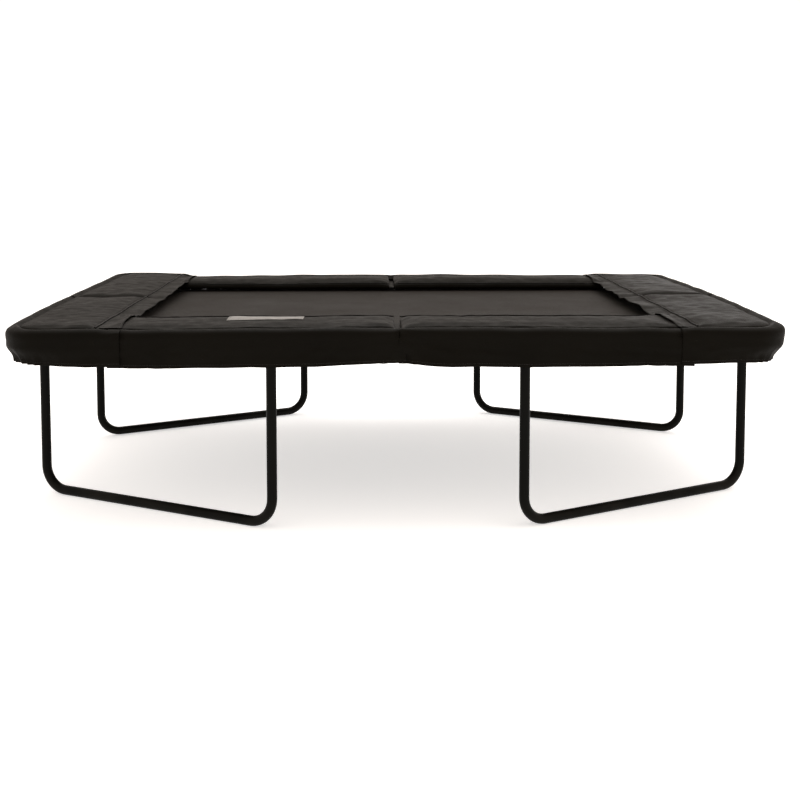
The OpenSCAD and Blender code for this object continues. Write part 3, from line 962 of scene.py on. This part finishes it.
def inner_welt(first, second, top_of_long):
    """Piping along a long pad's inner edge."""
    x = np.arange(LONG_LO.x + 0.014, LONG_HI.x - 0.012, 0.010)
    y = LONG_LO.y + 0.0165
    z = [top_of_long(v, y, LONG_HI.z) + 0.0006 for v in x]
    piping(f"welt_{first}_{second}", np.stack([x, np.full_like(x, y), z], -1), *signs(first, second))


LINING_T = 0.0012
LINING_LOW = PAD_FLOOR + 0.0010
LINING_IN = 0.006


def lining_outline(is_end):
    """Outline of a pad's underside, out to just inside its skirt."""
    if not is_end:
        low_y, high_x, high_y = LONG_LO.y + 0.016, LONG_HI.x - LINING_IN, LONG_HI.y - LINING_IN
        return [(0, low_y), (high_x, low_y), (high_x, high_y), (0, high_y)]
    in_x = END_INNER + 0.008
    corner = corner_arc(LINING_IN, LINING_IN)
    return [(in_x, 0), (END_HI.x - LINING_IN, 0), *corner, (in_x, END_HI.y - LINING_IN)]


def lining(first, second):
    """The panel that closes a pad's cover underneath."""
    is_end = is_end_pad(first)
    outline = lining_outline(is_end)
    obj = slab(f"lining_{first}_{second}", outline, LINING_LOW, LINING_LOW + LINING_T, VINYL)
    obj.data.shade_flat()
    if is_end:
        set_coords(obj, bowed(coords(obj), first))
    cover_pieces((obj,), *signs(first, second))


PATCH_X = (0.453, 0.818)
PATCH_Y = (0.835, 0.982)


def patch(first, second, top_of_long):
    """A plain patch sewn on a long pad."""
    name = f"patch_{first}_{second}"
    x = np.linspace(*PATCH_X, 39)
    y = np.linspace(*PATCH_Y, 13)
    grid = np.array([[(u, v, top_of_long(u, v, LONG_HI.z) + 0.0014) for v in y] for u in x])
    obj = facing_up(name, grid, PATCH)
    thicken(obj, 0.0010, 1.0)
    ring = np.vstack([grid[1:-1, 1], grid[-2, 1:-1], grid[-2:0:-1, -2], grid[1, -2:0:-1]]) + (0, 0, 0.0012)
    seam = sewn(name, [stitches_on_top(ring)])
    cover_pieces((obj, seam), *signs(first, second))


# ---------- pads ----------

OVER_JOINT = -0.035
AT_JOINT = 0.001


def make_casings():
    """All eight foam-filled casings, swollen together, in their corner at +X +Y."""
    made = {}
    for first, second in LONG_PADS + END_PADS:
        made[first, second] = casing_blank(first, second)
    swell(list(made.values()))
    for (first, second), obj in made.items():
        shape_casing(obj, first, second)
        obj.modifiers.new("rounding", "SUBSURF").levels = 1
        applied(obj)
    return made


def make_pads():
    """The eight pads: their casings, then each cover's loose cloth, fitted to the casings' tops."""
    casings = make_casings()
    tops = {key: surface_of(obj) for key, obj in casings.items()}
    for first, second in LONG_PADS:
        seed = pad_seed(first, second)
        start = OVER_JOINT if (first, second) in (("front", "left"), ("back", "right")) else AT_JOINT
        skirt(first, second, start, seed, long_hem_rise(second, seed), 0.0060)
        inner_welt(first, second, tops[first, second])
        lining(first, second)
    patch("front", "left", tops["front", "left"])
    for first, second in END_PADS:
        seed = pad_seed(first, second)
        start = OVER_JOINT if second == "back" else AT_JOINT
        skirt(first, second, start, seed, end_hem_rise(seed), 0.004)
        lining(first, second)
        flap(first, second, lap_of(first, second), tops[first, second], tops[second, first], seed)
    for (first, second), obj in casings.items():
        cover_pieces((obj,), *signs(first, second))
        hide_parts(f"pad_{first}_{second}", f"foam_{first}")


# ---------- the sprung bed ----------

SIDE_TURNS = {"back": 0, "left": 1, "front": 2, "right": 3}


def to_side(side, points):
    """Turns points of the back side, (along, outward y, z), onto one of the four sides."""
    p = np.array(points, float).reshape(-1, 3)
    for _ in range(SIDE_TURNS[side]):
        p = np.stack([-p[:, 1], p[:, 0], p[:, 2]], -1)
    return p


def side_sizes(side):
    """Half the mat's length along a side, its distance from the centre, and the number of springs."""
    if side in ("front", "back"):
        return MAT_HI.x, MAT_HI.y, LONG_SPRINGS
    return MAT_HI.y, MAT_HI.x, SHORT_SPRINGS


def spring_places(side):
    """Where the springs of a side stand along it."""
    half, _, count = side_sizes(side)
    pitch = (2*half - ROW_MARGIN)/(count - 1)
    return [(i - (count - 1)/2)*pitch for i in range(count)]


def bed_piece(name, side, points, faces, paint, slot, flat=False):
    """A piece of one side's bed, turned from the back side onto its own side."""
    obj = new_mesh(name, to_side(side, points), faces, paint, flat)
    obj.data.set_sharp_from_angle(angle=math.radians(50))
    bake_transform(obj)
    return obj


def copies(points, faces, places):
    """One small part repeated at places along a side."""
    return merged([(np.asarray(points) + (a, 0, 0), faces) for a in places])


def half_width(half, depth):
    """Half the width of a side's share of the mat at a depth from its edge."""
    mitre = half - depth
    if depth >= MAT_CORNER_R:
        return mitre
    arc = half - MAT_CORNER_R + math.sqrt(MAT_CORNER_R**2 - (MAT_CORNER_R - depth)**2)
    return min(mitre, arc)


def depths(deepest, step):
    """Depths of the mat's rows from its edge, close together at the round corner."""
    fine = MAT_CORNER_R*(1 - np.cos(np.linspace(0, math.pi/4, 5)))
    return np.concatenate([fine, np.linspace(MAT_CORNER_R*0.4, deepest, math.ceil(deepest/step))])


def mat_part(side, deepest, step, top, bottom, columns):
    """A closed sheet of one side's share of the mat, down to a depth from its edge."""
    half, off, _ = side_sizes(side)
    rows = depths(deepest, step)
    u = np.linspace(-1, 1, columns)
    layers = []
    for z in (top, bottom):
        layers += [[(half_width(half, d)*v, off - d, z) for v in u] for d in rows]
    points = np.array(layers).reshape(-1, 3)
    count = len(rows)*columns
    upper = grid_faces(len(rows), columns)
    lower = [[count + i for i in face][::-1] for face in upper]
    rim = list(range(columns)) + [r*columns + columns - 1 for r in range(1, len(rows))]
    rim += [count - 1 - i for i in range(1, columns)] + [r*columns for r in range(len(rows) - 2, 0, -1)]
    walls = [[a, b, count + b, count + a] for a, b in zip(rim, rim[1:] + rim[:1])]
    faces = upper + lower + [w[::-1] for w in walls]
    return points, faces


def make_mat(side):
    """One side's share of the mat, with its webbing edge and that edge's stitches."""
    half, off, _ = side_sizes(side)
    deepest = min(MAT_HI.x, MAT_HI.y)
    columns = 151 if half > deepest else 91
    points, faces = mat_part(side, deepest, 0.02, MAT_HI.z, MAT_LO.z, columns)
    mat = bed_piece(f"mat_{side}", side, points, faces, MAT_WEAVE, "mat_weave")
    border, border_faces = mat_part(side, BORDER_W, 0.01, BORDER_HI.z, BORDER_LO.z, columns)
    edge = bed_piece(f"border_{side}", side, border, border_faces, WEBBING, "webbing")
    runs = []
    for depth in (0.005, 0.026, 0.046):
        a = np.arange(-half_width(half, depth), half_width(half, depth), 0.01)
        line = np.stack([a, np.full_like(a, off - depth), np.full_like(a, BORDER_HI.z)], -1)
        runs.append(stitches_on_top(line))
    seam = bed_piece(f"border_stitches_{side}", side, *merged(runs), THREAD, "webbing", flat=True)


def loop_shape():
    """A webbing loop folded round the mat's edge: points and faces at along = 0, edge = 0."""
    low, high = LOOP_LO.z + 0.0006, LOOP_HI.z - 0.0006
    middle, reach = (low + high)/2, (high - low)/2
    turn = np.linspace(math.pi/2, -math.pi/2, 9)
    nose = [(0.005 + reach*math.cos(a), middle + reach*math.sin(a)) for a in turn]
    above = [(-0.030, high), (-0.018, high + 0.0002), (-0.006, high)]
    path = np.array([*above, *nose, (-0.006, low), (-0.018, low), (-0.030, low)])
    ahead = np.gradient(path, axis=0)
    side = np.stack([-ahead[:, 1], ahead[:, 0]], -1)/np.linalg.norm(ahead, axis=1)[:, None]
    points = []
    for along, thin in ((-0.0120, 0.35), (-0.0112, 0.9), (0, 1.0), (0.0112, 0.9), (0.0120, 0.35)):
        outer = path + side*0.0006*thin
        inner = path - side*0.0006*thin
        points.append([(along, y, z) for y, z in np.vstack([outer, inner[::-1]])])
    points = np.array(points)
    count = points.shape[1]
    faces = grid_faces(5, count, wrap=True)
    faces += [list(range(count)), [4*count + i for i in range(count)][::-1]]
    return points.reshape(-1, 3), faces


def loop_stitches():
    """A sewn box with a cross on a loop."""
    z = LOOP_HI.z
    box = [(-0.009, -0.006), (0.009, -0.006), (0.009, -0.026), (-0.009, -0.026), (-0.009, -0.006)]
    runs = []
    for a, b in list(zip(box, box[1:])) + [(box[0], box[2]), (box[1], box[3])]:
        runs.append(stitches_on_top(np.array([(*a, z), (*b, z)]), 0.0062))
    return merged(runs)


RING_WIRE_R = 0.0015
RING_BEND = 0.0055


def v_ring_shape():
    """A ring bent from round wire into a triangle with round corners."""
    middle = (RING_LO.z + RING_HI.z)/2
    corners = [(-0.0165, 0.0034), (0.0165, 0.0034), (0.0, 0.0445)]
    path = []
    for k, corner in enumerate(corners):
        c = np.array(corner)
        before, after = np.array(corners[k - 1]) - c, np.array(corners[(k + 1) % 3]) - c
        a = c + before/np.linalg.norm(before)*RING_BEND
        b = c + after/np.linalg.norm(after)*RING_BEND
        for t in np.linspace(0, 1, 7):
            path.append((1 - t)**2*a + 2*t*(1 - t)*c + t**2*b)
    path = np.array([(x, y, middle) for x, y in path])
    return tube(path, RING_WIRE_R, closed=True)


SPRING_WIRE_R = 0.0016
COIL_TURNS = 30
HOOK_R = 0.0050
COIL_FROM = 0.065
COIL_TO = 0.239


def spring_shape(off):
    """A spring from its hook in the ring, through its coil, to its hook in the rail."""
    hook_z = (SPRING_LO.z + SPRING_HI.z)/2
    coil_r = (SPRING_HI.z - SPRING_LO.z)/2 - SPRING_WIRE_R
    ring_y, rail_y = 0.0420, RAIL_OUT - TUBE_R + 0.0045
    down = np.linspace(0, math.radians(165), 9)
    ring_hook = [(0, ring_y - HOOK_R*math.sin(a), hook_z - HOOK_R*(1 - math.cos(a))) for a in down[::-1]]
    rail_hook = [(0, rail_y + HOOK_R*math.sin(a), hook_z - HOOK_R*(1 - math.cos(a))) for a in down]
    turn = np.linspace(0, COIL_TURNS*2*math.pi, COIL_TURNS*11 + 1)
    share = turn/turn[-1]
    radius = coil_r*smooth(0, 0.03, share)*(1 - smooth(0.97, 1, share))
    along = COIL_FROM + (COIL_TO - COIL_FROM)*share
    coil = np.stack([radius*np.sin(turn), along, hook_z + radius*np.cos(turn)], -1)
    neck = [(0, y, hook_z) for y in np.linspace(ring_y + 0.003, COIL_FROM - 0.004, 4)]
    tail = [(0, y, hook_z) for y in np.linspace(COIL_TO + 0.004, rail_y - 0.003, 5)]
    path = np.vstack([ring_hook, neck, coil, tail, rail_hook]) + (0, off, 0)
    return tube(path, SPRING_WIRE_R, 5)


def make_side(side):
    """The springs, rings and loops of one side, each shape repeated at the springs' places."""
    _, off, _ = side_sizes(side)
    places = spring_places(side)
    offset = np.array((0, off, 0))
    loops, loop_faces = loop_shape()
    bed_piece(f"loops_{side}", side, *copies(loops + offset, loop_faces, places), WEBBING, "webbing")
    seams, seam_faces = loop_stitches()
    seams = copies(seams + offset, seam_faces, places)
    bed_piece(f"loop_stitches_{side}", side, *seams, THREAD, "webbing", flat=True)
    ring, ring_faces = v_ring_shape()
    bed_piece(f"rings_{side}", side, *copies(ring + offset, ring_faces, places), ZINC, "zinc")
    coil, coil_faces = spring_shape(off)
    springs = bed_piece(f"springs_look_{side}", side, *copies(coil, coil_faces, places), ZINC, "zinc")
    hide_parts(f"springs_{side}")


def make_bed():
    """The four sides of the bed, made in place of the CAD nodes that all sides share, which are hidden."""
    for side in SIDE_TURNS:
        make_side(side)
        make_mat(side)
    shared = {"mat": "jump_mat", "border": "mat_border", "loops": "ring_loops", "rings": "v_rings"}
    for kind, cad_node in shared.items():
        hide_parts(cad_node)


# ---------- the CAD parts that stay ----------

NODE_PAINTS = {"frame_paint": FRAME_PAINT, "zinc": ZINC, "webbing": ELASTIC}


def paint_cad():
    """Gives every shown CAD node a material of its own kind."""
    slots = {part["node"]: part["material_slot"] for part in frame["record"]["subparts"]}
    for name, obj in frame["nodes"].items():
        look = NODE_PAINTS.get(slots[name])
        if look is None or obj.hide_render:
            continue
        obj.data.materials.clear()
        obj.data.materials.append(look)


# ---------- stage, light and camera ----------

FLOOR_REACH = 60.0
FLOOR_GLOW = 0.50
WORLD_COLOUR = (1.0, 0.91, 0.84, 1)
WORLD_STRENGTH = 1.2


def make_floor():
    """A plain pale floor, wide enough to have no edge in view."""
    mat, shader, place = material("floor_look", Roughness=0.9, Specular_IOR_Level=0.1)
    shade = mixed(noise(place, 0.6), (0.80, 0.80, 0.80), (0.83, 0.83, 0.83))
    mat.node_tree.links.new(shade, shader.inputs["Base Color"])
    shader.inputs["Emission Color"].default_value = (1, 1, 1, 1)
    shader.inputs["Emission Strength"].default_value = FLOOR_GLOW
    corners = [(x*FLOOR_REACH, y*FLOOR_REACH, 0) for x, y in ((-1, -1), (1, -1), (1, 1), (-1, 1))]
    new_mesh("floor", corners, [[0, 1, 2, 3]], mat)


def area_light(name, place, target, size, power):
    """A white softbox at a place, turned to a target."""
    data = bpy.data.lights.new(name, "AREA")
    data.shape = "RECTANGLE"
    data.size, data.size_y = size
    data.energy = power
    lamp = bpy.data.objects.new(name, data)
    bpy.context.collection.objects.link(lamp)
    lamp.location = place
    lamp.rotation_euler = (Vector(target) - Vector(place)).to_track_quat("-Z", "Y").to_euler()


def make_light():
    """Even studio light, a large softbox overhead and a small one behind on the right."""
    world = bpy.data.worlds.new("studio")
    bpy.context.scene.world = world
    world.use_nodes = True
    inputs = world.node_tree.nodes["Background"].inputs
    inputs["Color"].default_value = WORLD_COLOUR
    inputs["Strength"].default_value = WORLD_STRENGTH
    area_light("overhead", (0.5, 1.0, 5.5), (0, 0, 0.9), (7.0, 5.0), 330)
    area_light("far_right", (4.2, 6.6, 2.3), (1.5, 0, 0.9), (3.2, 2.6), 34)
    bpy.context.scene.view_settings.view_transform = "Standard"


CAMERA_PLACE = (-0.112, -6.274, 1.714)
CAMERA_YAW = 1.344
CAMERA_PITCH = 4.116
CAMERA_LENS = 50.04
CAMERA_SHIFT = -0.20


def make_camera():
    """The photograph's viewpoint."""
    data = bpy.data.cameras.new("camera")
    data.lens = CAMERA_LENS
    data.sensor_width = 36
    data.shift_y = CAMERA_SHIFT
    cam = bpy.data.objects.new("camera", data)
    bpy.context.collection.objects.link(cam)
    cam.location = CAMERA_PLACE
    cam.rotation_euler = (math.radians(90 - CAMERA_PITCH), 0, math.radians(-CAMERA_YAW))
    bpy.context.scene.camera = cam


make_camera()
make_light()
make_floor()
make_bed()
make_pads()
paint_cad()
